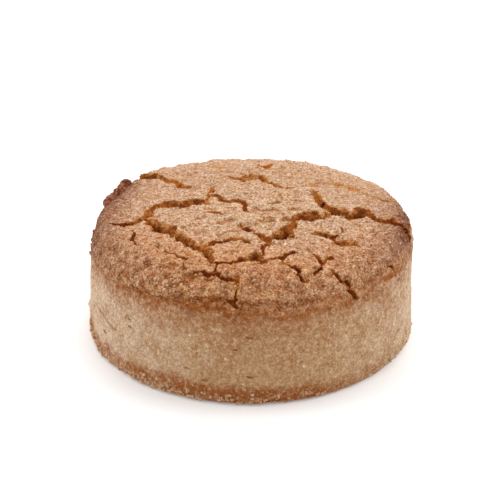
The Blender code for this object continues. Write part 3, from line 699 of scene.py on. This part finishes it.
# -------------------- The wall, and the whole skin
def scratch_distance(smooth):
    """Distance to the scratch, a straight line on the wall rolled flat, with its side as the sign."""
    flat = np.stack([np.radians(turn_of(smooth)) * WALL_RADIUS, smooth[:, 2]], axis=1)
    first, second = [np.array((np.radians(turn) * WALL_RADIUS, height)) for turn, height in SCRATCH]
    leg = second - first
    share = ((flat - first) @ leg) / (leg @ leg)
    offset = flat - first - share[:, None] * leg
    side = np.sign(leg[0] * offset[:, 1] - leg[1] * offset[:, 0])
    past = np.maximum(np.abs(share - 0.5) - 0.5, 0.0) * np.hypot(*leg)
    return side * (reach_of(offset) + 2.0 * past)


def wall_skin(border):
    """The wall: every second point of the crust's border drawn down in rows that crowd together at both
    ends. The relief is the wall's own grain, the ledge's underside and a ragged browned rim at the foot."""
    turn = turn_of(border[::2])
    step = np.arange(1, WALL_ROWS + 1) / WALL_ROWS
    crowded = step - ROW_CROWDING * np.sin(2.0 * np.pi * step) / (2.0 * np.pi)
    height = np.repeat(WALL_HEIGHT * (1.0 - crowded), len(turn))
    turn = np.tile(turn, WALL_ROWS)
    smooth = with_height(wall_radius(height)[:, None] * level_way(turn), height)
    coarse = coarseness(smooth)
    skin = ease((height - WALL_HEIGHT + 1.5) / 1.5)
    relief = grain_relief(smooth, coarse) * (WALL_GRAIN + (1.0 - WALL_GRAIN) * skin) + shoulder_relief(smooth)
    ragged_foot = 0.55 + 0.45 * lumps(smooth * (1.0, 1.0, 0.3), 1.6, 71) + 0.35 * lumps(smooth, 0.8, 72)
    relief += FLANGE * by_turn(turn, FOOT_STOUT) * ragged_foot * ease((2.4 - height) / 1.6 + 0.5)
    relief += 0.16 * bell(height - 1.0, 1.6) * (lumps(smooth, 1.1, 74) + 0.6 * lumps(smooth, 0.8, 75))
    relief -= by_turn(turn, FOOT_CUT) * bell(height, 3.0)
    bumpy = 1.0 + 0.8 * lumps(smooth, 1.2, 73)
    for bump_turn, bump_height, reach, proud in FOOT_BUMPS:
        sideways = np.radians(turn_gap(turn, bump_turn)) * FOOT_RADIUS
        relief += proud * bumpy * bell(np.hypot(sideways, height - bump_height), reach)
    relief *= np.where(height < 0.01, 0.4, 1.0)
    places = smooth + relief[:, None] * laid_flat(level_way(turn))
    places[:, 2] -= ledge_sag(smooth) * ease(height / 2.0)
    none = np.zeros(len(height))
    ridge, hollow = ridge_and_hollow(relief, (WALL_ROWS, WALL_COLUMNS), 6)
    band = torn_band(smooth, turn) * ease((height - crust_edge(turn)) / 1.2 + 1.0)
    values = {
        "coarse": coarse,
        "ridge": ridge,
        "hollow": hollow,
        "torn": 0.30 * band,
        # Painted shade on the torn band under the lip.
        "painted_shade": 0.5 * band,
        "golden": none,
        "crack": none,
        "scratch": scratch_distance(smooth),
        "scorch_and_shade": none,
    }
    return places, smooth, values


def border_walk():
    """Numbers of the crust grid's border points, once round, anticlockwise from above."""
    row = CELLS + 1
    low = np.arange(CELLS)
    return np.concatenate([low, low * row + CELLS, CELLS * row + CELLS - low, (CELLS - low) * row])


def grid_numbers(columns, rows):
    """Column and row of each cell of a grid, row by row."""
    return [numbers.ravel() for numbers in np.meshgrid(np.arange(columns), np.arange(rows))]


def wall_layout(column, down):
    """Place on the bake layout of the wall's corners: two upright strips, each half of the way round."""
    strip = (column[:, :1] >= WALL_COLUMNS // 2) * 1
    along = column - strip * WALL_COLUMNS // 2
    across = 0.69 + 0.155 * strip + 0.145 * down / WALL_ROWS
    return np.stack([across, 0.005 + 0.99 * along / (WALL_COLUMNS // 2)], axis=2)


def skin_faces(border):
    """Quads of the crust's grid, a collar of five-sided faces where two border points meet one column of
    the wall, quads of the wall, and the base as one face. Also the place of each corner on the bake
    layout: the crust is a square, the wall two upright strips, the base a disc."""
    row = CELLS + 1
    i, j = grid_numbers(CELLS, CELLS)
    crust = np.stack([j * row + i, j * row + i + 1, (j + 1) * row + i + 1, (j + 1) * row + i], axis=1)
    across = np.stack([i, i + 1, i + 1, i], axis=1)
    along = np.stack([j, j, j + 1, j + 1], axis=1)
    crust_map = 0.005 + 0.67 * np.stack([across, along], axis=2) / CELLS

    rings = row * row + np.arange(WALL_COLUMNS * WALL_ROWS).reshape(WALL_ROWS, WALL_COLUMNS)
    m = np.arange(WALL_COLUMNS)
    after = (m + 1) % WALL_COLUMNS
    above = (border[2 * after], border[2 * m + 1], border[2 * m])
    collar = np.stack([rings[0, m], rings[0, after], *above], axis=1)
    collar_down = np.tile((1, 1, 0, 0, 0), (WALL_COLUMNS, 1))
    collar_map = wall_layout(np.stack([m, m + 1, m + 1, m + 0.5, m], axis=1), collar_down)

    m, k = grid_numbers(WALL_COLUMNS, WALL_ROWS - 1)
    after = (m + 1) % WALL_COLUMNS
    wall = np.stack([rings[k + 1, m], rings[k + 1, after], rings[k, after], rings[k, m]], axis=1)
    wall_down = np.stack([k + 2, k + 2, k + 1, k + 1], axis=1)
    wall_map = wall_layout(np.stack([m, m + 1, m + 1, m], axis=1), wall_down)

    base = rings[-1][::-1]
    turn = np.arange(WALL_COLUMNS)[::-1] * 2.0 * np.pi / WALL_COLUMNS
    base_map = np.stack([0.3 + 0.14 * np.cos(turn), 0.84 + 0.14 * np.sin(turn)], axis=1)
    faces = crust.tolist() + collar.tolist() + wall.tolist() + [base.tolist()]
    layout = [crust_map.reshape(-1, 2), collar_map.reshape(-1, 2), wall_map.reshape(-1, 2), base_map]
    return faces, np.concatenate(layout)


def settle(places):
    """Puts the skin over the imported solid: base on its base, middle of the outline over its middle."""
    low, high = [np.array(corner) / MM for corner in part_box("biscuit")]
    moved = places.copy()
    moved[:, :2] += (low + high)[:2] / 2.0 - (places.max(axis=0) + places.min(axis=0))[:2] / 2.0
    moved[:, 2] += low[2] - places[:, 2].min()
    return moved


def browning(smooth):
    """How baked each place is. skin is 1 on the crust and 0 on the wall. toast is the extra browning of
    the shoulder, of the wall under the crust and of the foot. mauve is the darker browning of the left
    and right rims. middle is the warmer, darker front of the wall, partly browning and partly painted
    shade. calm is 1 at the back, fair in the palest part of the crust, and lip on the golden edge of the
    crust at the front."""
    turn = turn_of(smooth)
    height = smooth[:, 2]
    radius = reach_of(smooth)
    above = height - crust_edge(turn)
    skin = ease(above / by_turn(turn, CRUST_SOFTNESS) + 0.5)
    front = by_turn(turn, SHOULDER_FRONT)
    shoulder = ease((radius - 11.0 - by_turn(turn, SHOULDER_BACK)) / 17.0) * front
    under = (1.0 - skin) * np.exp(-np.maximum(-above, 0.0) / by_turn(turn, UNDER_FADE))
    foot = ease((by_turn(turn, FOOT_TOP) + 0.9 * lumps(smooth, 2.2, 81) - height) / 2.8 + 0.5)
    foot *= 1.0 - 0.85 * rise(turn, 22.0, 45.0) - 0.1 * bell(height, 0.9)
    toast = skin * by_turn(turn, SHOULDER_TOAST) * shoulder + under * by_turn(turn, UNDER_TOAST)
    toast = toast + by_turn(turn, FOOT_TOAST) * foot
    left = by_turn(turn, MAUVE_LEFT)
    right = by_turn(turn, MAUVE_RIGHT)
    mauve = skin * ease((radius - 23.0 + 2.5 * left) / 11.0) * (0.85 * left + 1.02 * right)
    rim = by_turn(turn, MAUVE_RIM) * ease((radius - 30.9 + 0.8 * lumps(smooth, 2.2, 82)) / 1.6)
    mauve = np.maximum(mauve, 1.3 * skin * rim)
    lip = bell(lip_height(smooth) - 0.5, 0.6) * by_turn(turn, GOLDEN_LIP)
    lip *= ease(1.8 * lumps(smooth, 1.3, 83) + 0.1)
    return {
        "skin": skin,
        "toast": np.clip(toast, 0.0, 1.0),
        "mauve": np.clip(mauve, 0.0, 1.0),
        "middle": by_turn(turn, WARM_MIDDLE) * (1.0 - skin),
        "calm": rise(smooth[:, 1], 2.0, 14.0),
        "fair": skin * bell(reach_of(smooth, FAIR_MIDDLE), FAIR_SPREAD),
        "lip": skin * lip,
    }


def make_piece(name, places, faces, material, values=None, layout=None, smooth=True):
    """A mesh object from arrays in millimetres, with named values for each point."""
    mesh = bpy.data.meshes.new(name)
    mesh.from_pydata(places * MM, [], faces)
    for label, numbers in (values or {}).items():
        mesh.attributes.new(label, "FLOAT", "POINT").data.foreach_set("value", numbers.astype(np.float32))
    if layout is not None:
        mesh.uv_layers.new(name="OFBake").data.foreach_set("uv", layout.astype(np.float32).ravel())
    if smooth:
        mesh.shade_smooth()
    mesh.materials.append(material)
    piece = bpy.data.objects.new(name, mesh)
    bpy.context.scene.collection.objects.link(piece)
    return piece


def biscuit_skin(material):
    """The crust, wall and base as one closed skin. Returns it with its smooth places and its values."""
    crust, crust_smooth, crust_values = crust_skin()
    border = border_walk()
    wall, wall_smooth, wall_values = wall_skin(crust_smooth[border])
    faces, layout = skin_faces(border)
    smooth = np.concatenate([crust_smooth, wall_smooth])
    values = {label: np.concatenate([crust_values[label], wall_values[label]]) for label in wall_values}
    values.update(browning(smooth))
    placed = settle(swell(np.concatenate([crust, wall])))
    piece = make_piece("shortbread", placed, faces, material, values, layout)
    piece.data.polygons[len(faces) - 1].use_smooth = False
    return piece, smooth, values


# -------------------- Loose crumbs
def ball_grid(sides, rings):
    """A ball from a grid of turns and rings with a point at each pole: directions and faces."""
    lean = np.pi * np.arange(1, rings + 1) / (rings + 1)
    turn = 2.0 * np.pi * np.arange(sides) / sides
    level = np.sin(lean)[:, None]
    ring = np.stack([level * np.cos(turn), level * np.sin(turn), np.cos(lean)[:, None] + 0.0 * turn], axis=2)
    ways = np.concatenate([ring.reshape(-1, 3), [(0.0, 0.0, 1.0), (0.0, 0.0, -1.0)]])
    m, k = grid_numbers(sides, rings - 1)
    after = (m + 1) % sides
    quads = np.stack([k * sides + m, (k + 1) * sides + m, (k + 1) * sides + after, k * sides + after], axis=1)
    m = np.arange(sides)
    after = (m + 1) % sides
    last = (rings - 1) * sides
    top = np.stack([np.full(sides, rings * sides), m, after], axis=1)
    low = np.stack([np.full(sides, rings * sides + 1), last + after, last + m], axis=1)
    return ways, quads, np.concatenate([top, low])


def scattered(skin, values, weights, name, seed, count, sizes, proud, paler, golden, ball, fallen):
    """Loose crumbs on the skin, as one piece: balls whose points are pushed in and out at random, each
    squashed, turned and set on a point of the skin drawn with these weights, whose browning it takes,
    a little more or less. Their sizes lie between the smallest and the largest, most of them small.
    Crumbs that have fallen are pale and golden like the crust that they come from."""
    rng = np.random.default_rng(seed)
    total = len(skin.data.vertices)
    spots = np.empty(total * 3)
    skin.data.vertices.foreach_get("co", spots)
    normals = np.empty(total * 3)
    skin.data.vertex_normals.foreach_get("vector", normals)
    chosen = rng.choice(total, count, replace=False, p=weights / weights.sum())
    size = sizes[0] + (sizes[1] - sizes[0]) * rng.random(count) ** 2.2
    centre = spots.reshape(-1, 3)[chosen] / MM + (proud * size)[:, None] * normals.reshape(-1, 3)[chosen]

    ways, quads, tips = ball_grid(*ball)
    reach = 1.0 + 0.32 * rng.uniform(-1.0, 1.0, (count, len(ways), 1))
    squash = rng.uniform(0.6, 1.2, (count, 1, 3))
    turned, _ = np.linalg.qr(rng.normal(size=(count, 3, 3)))
    turned *= np.linalg.det(turned)[:, None, None]
    balls = np.einsum("nij,npj->npi", turned, ways[None] * reach * squash)
    places = (centre[:, None, :] + 0.5 * size[:, None, None] * balls).reshape(-1, 3)
    places[:, 2] = np.maximum(places[:, 2], 0.02)
    step = (np.arange(count) * len(ways))[:, None, None]
    faces = (quads[None] + step).reshape(-1, 4).tolist() + (tips[None] + step).reshape(-1, 3).tolist()
    own = {label: numbers[chosen] for label, numbers in values.items()}
    own["toast"] = np.clip(own["toast"] + rng.uniform(*paler, count), 0.0, 1.0)
    own["golden"] = np.maximum(own["golden"], golden * rng.random(count))
    # A crumb takes part of the painted shade of the skin below it.
    own["painted_shade"] = own["painted_shade"] * rng.uniform(0.2, 0.9, count)
    own["ridge"] = rng.uniform(-0.12, 0.17, count)
    if fallen:
        own["skin"] = np.ones(count)
        own["golden"] = rng.uniform(0.3, 1.0, count)
        own["ridge"] = rng.uniform(0.1, 0.3, count)
    spread = {label: np.repeat(numbers, len(ways)) for label, numbers in own.items()}
    return make_piece(name, places, faces, skin.data.materials[0], spread, smooth=ball != GRAIN)


def scorched_nubs(material):
    """Scorched nubs baked on to the left rim: each an egg-shaped ball with lumps, lying along the rim."""
    ways, quads, tips = ball_grid(*NUB)
    places, faces = [], []
    for index, (turn, radius, height, along, across, up) in enumerate(NUBS):
        outward = laid_flat(level_way(np.array([turn])))[0]
        sideways = np.array([-outward[1], outward[0], 0.0])
        relief = 1.0 + 0.26 * lumps(ways * 1.1 + 9.0 * index, 1.0, 91)
        relief = relief + 0.08 * lumps(ways * 3.0 + index, 1.0, 92)
        ball = ways * relief[:, None]
        shaped = ball[:, :1] * along * sideways + ball[:, 1:2] * across * outward
        shaped += ball[:, 2:] * up * np.array([0.0, 0.0, 1.0])
        places.append(shaped + radius * outward + (0.0, 0.0, height))
        faces += (quads + index * len(ways)).tolist() + (tips + index * len(ways)).tolist()
    return make_piece("scorched_nubs", np.concatenate(places), faces, material)


def crumb_weights(smooth, values):
    """Where each kind of crumb lies: chances of each point of the skin."""
    turn = turn_of(smooth)
    height = smooth[:, 2]
    radius = reach_of(smooth)
    torn, crack = values["torn"], values["crack"]
    patchy = ease(lumps(smooth, 3.5, 95) / 0.8 + 0.5)
    lip = bell(lip_height(smooth) - 0.4, 0.8) * by_turn(turn, EDGE_CRUMBS)
    shoulder = by_turn(turn, SHOULDER_CRUMBS) * bell(height - crust_edge(turn) - 2.0, 2.4)
    top = 0.012 * (torn < 0.2) * (height > 22.0) * (smooth[:, 1] < 10.0)
    split = (torn > 0.6) * (crack < 0.1) * (values["painted_shade"] < 1.1) * (height > 22.0) * (0.3 + patchy)
    foot = bell(height - 1.1, 0.8) * (0.25 + patchy) * by_turn(turn, FOOT_CRUMBS)
    side = by_turn(turn, SIDE_CRUMBS) * bell(height - 3.6, 2.0)
    rim = by_turn(turn, RIM_CRUMBS) * bell(radius - 33.2, 1.2) * (height > 21.0)
    back = 0.85 * rise(smooth[:, 1], 6.0, 12.0) * rise(radius, 24.0, 6.0)
    crust = (values["skin"] > 0.5) * (torn < 0.3) * (crack < 0.1) * (1.0 + 1.5 * values["coarse"])
    crust = crust * (1.0 - back)
    plain = (values["skin"] < 0.5) * (height > 0.6) + 0.0
    return {"crust": crust, "wall": plain, "edge": lip + 0.8 * shoulder + top, "split": split + 0.0,
            "foot": foot + 0.8 * side, "rim": rim}


# -------------------- Finishes
class Flow:
    """What a node gives at each place. Sums and products of flows add the nodes that work them out."""

    def __init__(self, finish, socket):
        self.finish = finish
        self.socket = socket

    def calc(self, operation, other=0.0):
        return self.finish.flow("ShaderNodeMath", {0: self, 1: other}, operation=operation)

    def __add__(self, other):
        return self.calc("ADD", other)

    def __sub__(self, other):
        return self.calc("SUBTRACT", other)

    def __rsub__(self, other):
        return self.finish.flow("ShaderNodeMath", {0: other, 1: self}, operation="SUBTRACT")

    def __mul__(self, other):
        return self.calc("MULTIPLY", other)

    def __pow__(self, other):
        return self.calc("POWER", other)

    def held(self):
        """The same sum or product, held between 0 and 1."""
        self.socket.node.use_clamp = True
        return self

    def between(self, low, high, start=0.0, end=1.0):
        """The start up to low, the end from high on, and smooth between."""
        inputs = {"Value": self, "From Min": low, "From Max": high, "To Min": start, "To Max": end}
        return self.finish.flow("ShaderNodeMapRange", inputs, interpolation_type="SMOOTHSTEP")


class Finish:
    """A material and short calls that add its nodes."""

    def __init__(self, name):
        self.material = bpy.data.materials.new(name)
        self.material.use_nodes = True
        self.tree = self.material.node_tree

    def put(self, value, socket):
        if isinstance(value, Flow):
            self.tree.links.new(value.socket, socket)
        else:
            socket.default_value = value

    def flow(self, kind, inputs, out=0, **settings):
        made = self.tree.nodes.new(kind)
        for label, value in settings.items():
            setattr(made, label, value)
        for label, value in inputs.items():
            self.put(value, made.inputs[label])
        return Flow(self, made.outputs[out])

    def value(self, label):
        return self.flow("ShaderNodeAttribute", {}, "Fac", attribute_name=label)

    def places(self):
        """Object coordinates in millimetres."""
        here = self.flow("ShaderNodeTexCoord", {}, "Object")
        return self.flow("ShaderNodeVectorMath", {0: here, "Scale": 1.0 / MM}, operation="SCALE")

    def noise(self, where, size, detail, roughness=0.55):
        inputs = {"Vector": where, "Scale": 1.0 / size, "Detail": detail, "Roughness": roughness}
        return self.flow("ShaderNodeTexNoise", inputs)

    def cells(self, where, size):
        """Distance to the middle of the nearest cell."""
        return self.flow("ShaderNodeTexVoronoi", {"Vector": where, "Scale": 1.0 / size})

    def chance(self, cells):
        """A random share for each of the cells."""
        colour = Flow(self, cells.socket.node.outputs["Color"])
        return self.flow("ShaderNodeSeparateColor", {0: colour})

    def mix(self, share, first, second, blend="MIX"):
        inputs = {0: share, 6: first, 7: second}
        return self.flow("ShaderNodeMix", inputs, 2, data_type="RGBA", blend_type=blend)

    def layers(self, colour, *over):
        """A colour with others laid over it, each by its own share."""
        for share, laid in over:
            colour = self.mix(share, colour, laid)
        return colour

    def bumps(self, *layers):
        """Bumps of different heights laid one over another: height, distance and strength of each."""
        before = {}
        for height, distance, strength in layers:
            inputs = {"Height": height, "Distance": distance * MM, "Strength": strength}
            before = {"Normal": self.flow("ShaderNodeBump", inputs | before)}
        return before

    def finished(self, colour, roughness, sheen, others):
        """The material, with these on its shader."""
        shader = self.tree.nodes["Principled BSDF"]
        own = {"Base Color": colour, "Roughness": roughness, "Specular IOR Level": sheen}
        for label, value in (own | others).items():
            self.put(value, shader.inputs[label])
        return self.material


# Colours of the dough, as light reflected.
SKIN_PALE = (0.67, 0.485, 0.352, 1.0)
SKIN_ROSY = (0.46, 0.270, 0.160, 1.0)
SKIN_GOLDEN = (0.60, 0.360, 0.168, 1.0)
# ochre darkened with painted shade, for crannies between grains
SKIN_OCHRE_SHADE = (0.34, 0.105, 0.023, 1.0)
SKIN_RUSSET = (0.625, 0.325, 0.162, 1.0)
SKIN_TOASTED = (0.33, 0.095, 0.021, 1.0)
SKIN_MAUVE = (0.23, 0.080, 0.046, 1.0)
SCORCHED_SHADE = (0.14, 0.033, 0.012, 1.0)
NUB_LIT_BROWN = (0.40, 0.150, 0.080, 1.0)
WALL_PALE = (0.67, 0.50, 0.360, 1.0)
WALL_WARM = (0.52, 0.345, 0.205, 1.0)
WALL_MIDDLE = (0.46, 0.265, 0.130, 1.0)
WALL_TOASTED = (0.31, 0.098, 0.028, 1.0)
SPLIT_GOLD = (0.62, 0.30, 0.110, 1.0)
# Torn dough under painted shade: half way down a split, and deep down.
SPLIT_HALF_SHADE = (0.47, 0.155, 0.032, 1.0)
SPLIT_DEEP_SHADE = (0.19, 0.034, 0.006, 1.0)
# pale flecks, and the painted highlight on raised lumps
FLECK_AND_HIGHLIGHT = (0.80, 0.60, 0.38, 1.0)
LIP_GOLD = (0.76, 0.45, 0.19, 1.0)
SCORCH_TINT = (0.30, 0.12, 0.07, 1.0)
FLOOR_GLOW = 0.10  # the table is lit a little from beneath


def baked_dough():
    """Baked dough. The crust is rosy beige with ochre between its grains, browner on the shoulder and
    scorched at the rims; painted shade darkens its crannies and low places, and painted highlights
    pale its raised lumps. The wall is paler and finer. Split dough is golden near its lips and darkens
    with painted shade deeper down."""
    finish = Finish("baked_dough")
    where = finish.places()
    skin, toast, mauve, middle = [finish.value(label) for label in ("skin", "toast", "mauve", "middle")]
    coarse, ridge, torn = [finish.value(label) for label in ("coarse", "ridge", "torn")]
    hollow = finish.value("hollow").between(0.03, -0.30)

    patches = finish.noise(where, 4.0, 4.0, 0.6)
    grit = finish.noise(where, 0.9, 4.0, 0.7)
    fine = finish.noise(where, 0.40, 2.0, 0.6)
    pits = finish.noise(where, 0.75, 2.0, 0.5).between(0.38, 0.28)
    grain = finish.cells(where, 0.62)
    grain_top = grain.between(0.1, 0.75, 1.0, 0.0)
    uneven = grit - 0.5
    spotty = patches - 0.5

    # Crannies and the gaps between grains are tinted ochre and darkened with painted shade.
    cranny = ridge.between(0.02, -0.16)
    gap = grain_top.between(0.55, 0.05) * grit.between(0.58, 0.44)
    crust = finish.layers(
        SKIN_PALE,
        (grit.between(0.44, 0.60), SKIN_ROSY),
        ((spotty * 3.0 + hollow * 0.45 + (finish.value("golden") + uneven)).held() * 0.85, SKIN_GOLDEN),
        ((toast * 1.9 + uneven * 0.6).held(), SKIN_RUSSET),
        # Browning, more where the ridge is low: partly painted shade in the low places.
        ((toast - ridge * 1.8 - 0.30 + uneven * 1.6).held() * 0.85, SKIN_TOASTED),
        (finish.value("fair") * 0.24, FLECK_AND_HIGHLIGHT),
        (finish.value("lip") * 0.7, LIP_GOLD),
        ((cranny * 0.8 + gap * 0.5).held() * 0.85, SKIN_OCHRE_SHADE),
        # Random dark pores, and painted shade in the hollows of the coarse shoulder.
        ((pits * 0.75 + hollow * coarse * 0.3).held(), SKIN_TOASTED),
        ((mauve + uneven * 0.7).held() * mauve, SKIN_MAUVE),
    )

    spots = finish.cells(where, 1.7)
    dot = (spots + uneven * 0.5).between(0.20, 0.08)
    spot_chance = finish.chance(spots)
    flattened = finish.flow("ShaderNodeVectorMath", {0: where, 1: (1.0, 1.0, 2.6)}, operation="MULTIPLY")
    nicks = finish.cells(flattened, 3.0)
    nick = (nicks + uneven * 0.9).between(0.24, 0.10) * finish.chance(nicks).between(0.84, 0.92)
    scratch = finish.value("scratch").calc("ABSOLUTE").between(0.24, 0.04)
    wall = finish.layers(
        WALL_PALE,
        # The front of the wall is warmer and darker, partly browning and partly painted shade.
        (patches.between(0.38, 0.62) * (middle * 0.95 + 0.40).held(), WALL_WARM),
        (middle, WALL_MIDDLE),
        ((uneven * -1.8).held(), FLECK_AND_HIGHLIGHT),
        ((toast + uneven * 2.0 + spotty * 0.8).held(), WALL_TOASTED),
        (grit.between(0.47, 0.36) * toast * 0.6, SKIN_GOLDEN),
        (dot * spot_chance.between(0.20, 0.06, 0.0, 0.5), FLECK_AND_HIGHLIGHT),
        (dot * spot_chance.between(0.62, 0.80, 0.0, 0.8), WALL_TOASTED),
        # The nicks and the scratch, dented by the bumps below, are darkened with painted shade.
        (nick * 0.85, SKIN_TOASTED),
        (scratch * 0.8, WALL_TOASTED),
    )

    # Painted highlight: raised lumps are paler.
    painted_highlight = ridge.between(0.02, 0.22) * 0.34
    flecks = finish.chance(grain).between(0.90, 0.98) * grain_top.between(0.2, 0.9) * (skin * 0.4 + 0.15)
    outside = finish.mix(flecks.calc("MAXIMUM", painted_highlight), finish.mix(skin, wall, crust), FLECK_AND_HIGHLIGHT)
    # How far the torn dough darkens: the split's painted shade, random unevenness and the rims' browning.
    depth = finish.value("painted_shade") + uneven * 0.9 + mauve * 0.5
    inside = finish.layers(
        SPLIT_GOLD, (depth.between(-0.10, 0.28), SPLIT_HALF_SHADE), (depth.between(0.38, 1.0), SPLIT_DEEP_SHADE)
    )
    colour = finish.mix(torn, outside, inside)
    # Scorched places, and a little painted shade in the shoulder's pits.
    colour = finish.mix(finish.value("scorch_and_shade"), colour, SCORCH_TINT, "MULTIPLY")
    # Fine speckle, darker and more saturated where the fine bump is low: random tone with painted shade in
    # the grain's hollows.
    swing = skin * 0.04 + coarse * 0.12 - finish.value("calm") * 0.10 + 0.26
    speckled_shade = fine.between(0.30, 0.70, 1.0 - swing, swing + 1.0)
    shade = finish.flow("ShaderNodeCombineColor", {0: speckled_shade**0.65, 1: speckled_shade, 2: speckled_shade**1.7})
    bumps = finish.bumps(
        (grain_top, 0.12, 0.6),
        (grit * (torn * 1.6 + 1.0), 0.5, 0.5),
        (fine, 0.14, 0.5),
        (scratch.calc("MAXIMUM", nick * (1.0 - skin).held()), -0.3, 0.8),
    )
    return finish.finished(finish.mix(1.0, colour, shade, "MULTIPLY"), 0.8, 0.0, bumps)


def scorched_dough():
    """Scorched dough: mauve brown, nearly black in its crevices and lighter on its lumps, with painted
    shade and light that follow its bumps, and a slight sheen.
    """
    finish = Finish("scorched_dough")
    where = finish.places()
    lump = finish.noise(where, 1.2, 4.0, 0.65)
    grain = finish.cells(where, 0.6).between(0.1, 0.75, 1.0, 0.0)
    colour = finish.mix(lump.between(0.42, 0.60), SCORCHED_SHADE, NUB_LIT_BROWN)
    return finish.finished(colour, 0.7, 0.15, finish.bumps((grain, 0.22, 0.9), (lump, 0.8, 0.8)))


def pale_floor():
    """A matt white studio table with a barely uneven tone."""
    finish = Finish("pale_floor")
    tone = finish.noise(finish.places(), 60.0, 2.0)
    colour = finish.mix(tone, (0.93, 0.93, 0.93, 1.0), (0.95, 0.95, 0.95, 1.0))
    glow = {"Emission Color": (1.0, 1.0, 1.0, 1.0), "Emission Strength": FLOOR_GLOW}
    return finish.finished(colour, 0.9, 0.0, glow)


# -------------------- Studio
CAMERA_RISE = 24.49  # degrees above level
CAMERA_DISTANCE = 254.0
CAMERA_TARGET = (-0.7, 0.0, 17.69)
LENS = 85.7
# Square softboxes: name, place and size in metres, and power.
LIGHTS = (
    ("overhead", (0.05, 0.17, 0.60), (0.7, 0.5), 3.7),
    ("side_left", (-0.55, 0.05, 0.28), (0.4, 0.4), 1.4),
    ("side_right", (0.55, 0.05, 0.28), (0.4, 0.4), 1.15),
    ("front", (0.0, -0.60, 0.45), (0.5, 0.4), 0.88),
)
LIGHT_TARGET = Vector((0.0, 0.0, 0.01))
SURROUNDINGS = 0.30  # strength of the light from all round
FLOOR_REACH = 3000.0


def aimed(thing, place, target):
    """Puts a lamp or camera in its place, looking at the target."""
    thing.location = place
    thing.rotation_euler = (target - thing.location).to_track_quat("-Z", "Y").to_euler()
    bpy.context.scene.collection.objects.link(thing)


def place_camera():
    """A camera in front of the biscuit, looking down on it a little."""
    lean = np.radians(CAMERA_RISE)
    target = Vector(CAMERA_TARGET) * MM
    camera = bpy.data.objects.new("camera", bpy.data.cameras.new("camera"))
    aimed(camera, target + Vector((0.0, -np.cos(lean), np.sin(lean))) * CAMERA_DISTANCE * MM, target)
    camera.data.lens = LENS
    camera.data.sensor_width = 36.0
    camera.data.clip_start = 0.01
    bpy.context.scene.camera = camera


def light_studio():
    """A wide overhead softbox a little behind the biscuit, one at each side, one in front, and white
    surroundings."""
    for name, place, size, power in LIGHTS:
        light = bpy.data.lights.new(name, "AREA")
        light.shape = "RECTANGLE"
        light.size, light.size_y = size
        light.energy = power
        aimed(bpy.data.objects.new(name, light), place, LIGHT_TARGET)
    world = bpy.data.worlds.new("studio")
    world.use_nodes = True
    world.node_tree.nodes["Background"].inputs["Color"].default_value = (1.0, 1.0, 1.0, 1.0)
    world.node_tree.nodes["Background"].inputs["Strength"].default_value = SURROUNDINGS
    bpy.context.scene.world = world
    bpy.context.scene.view_settings.view_transform = "Standard"


def lay_floor():
    """A level square far wider than the view."""
    corners = FLOOR_REACH * np.array([(-1.0, -1.0, 0.0), (1.0, -1.0, 0.0), (1.0, 1.0, 0.0), (-1.0, 1.0, 0.0)])
    floor = make_piece("floor", corners, [(0, 1, 2, 3)], pale_floor(), smooth=False)


# -------------------- The biscuit is put together
shortbread, skin_smooth, skin_values = biscuit_skin(baked_dough())
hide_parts("biscuit")

chances = crumb_weights(skin_smooth, skin_values)
crumbs = [scattered(shortbread, skin_values, chances[kind], name, *how) for name, kind, *how in CRUMBS]

for piece in (shortbread, *crumbs, scorched_nubs(scorched_dough())):
    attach(piece, "root")

lay_floor()
place_camera()
light_studio()
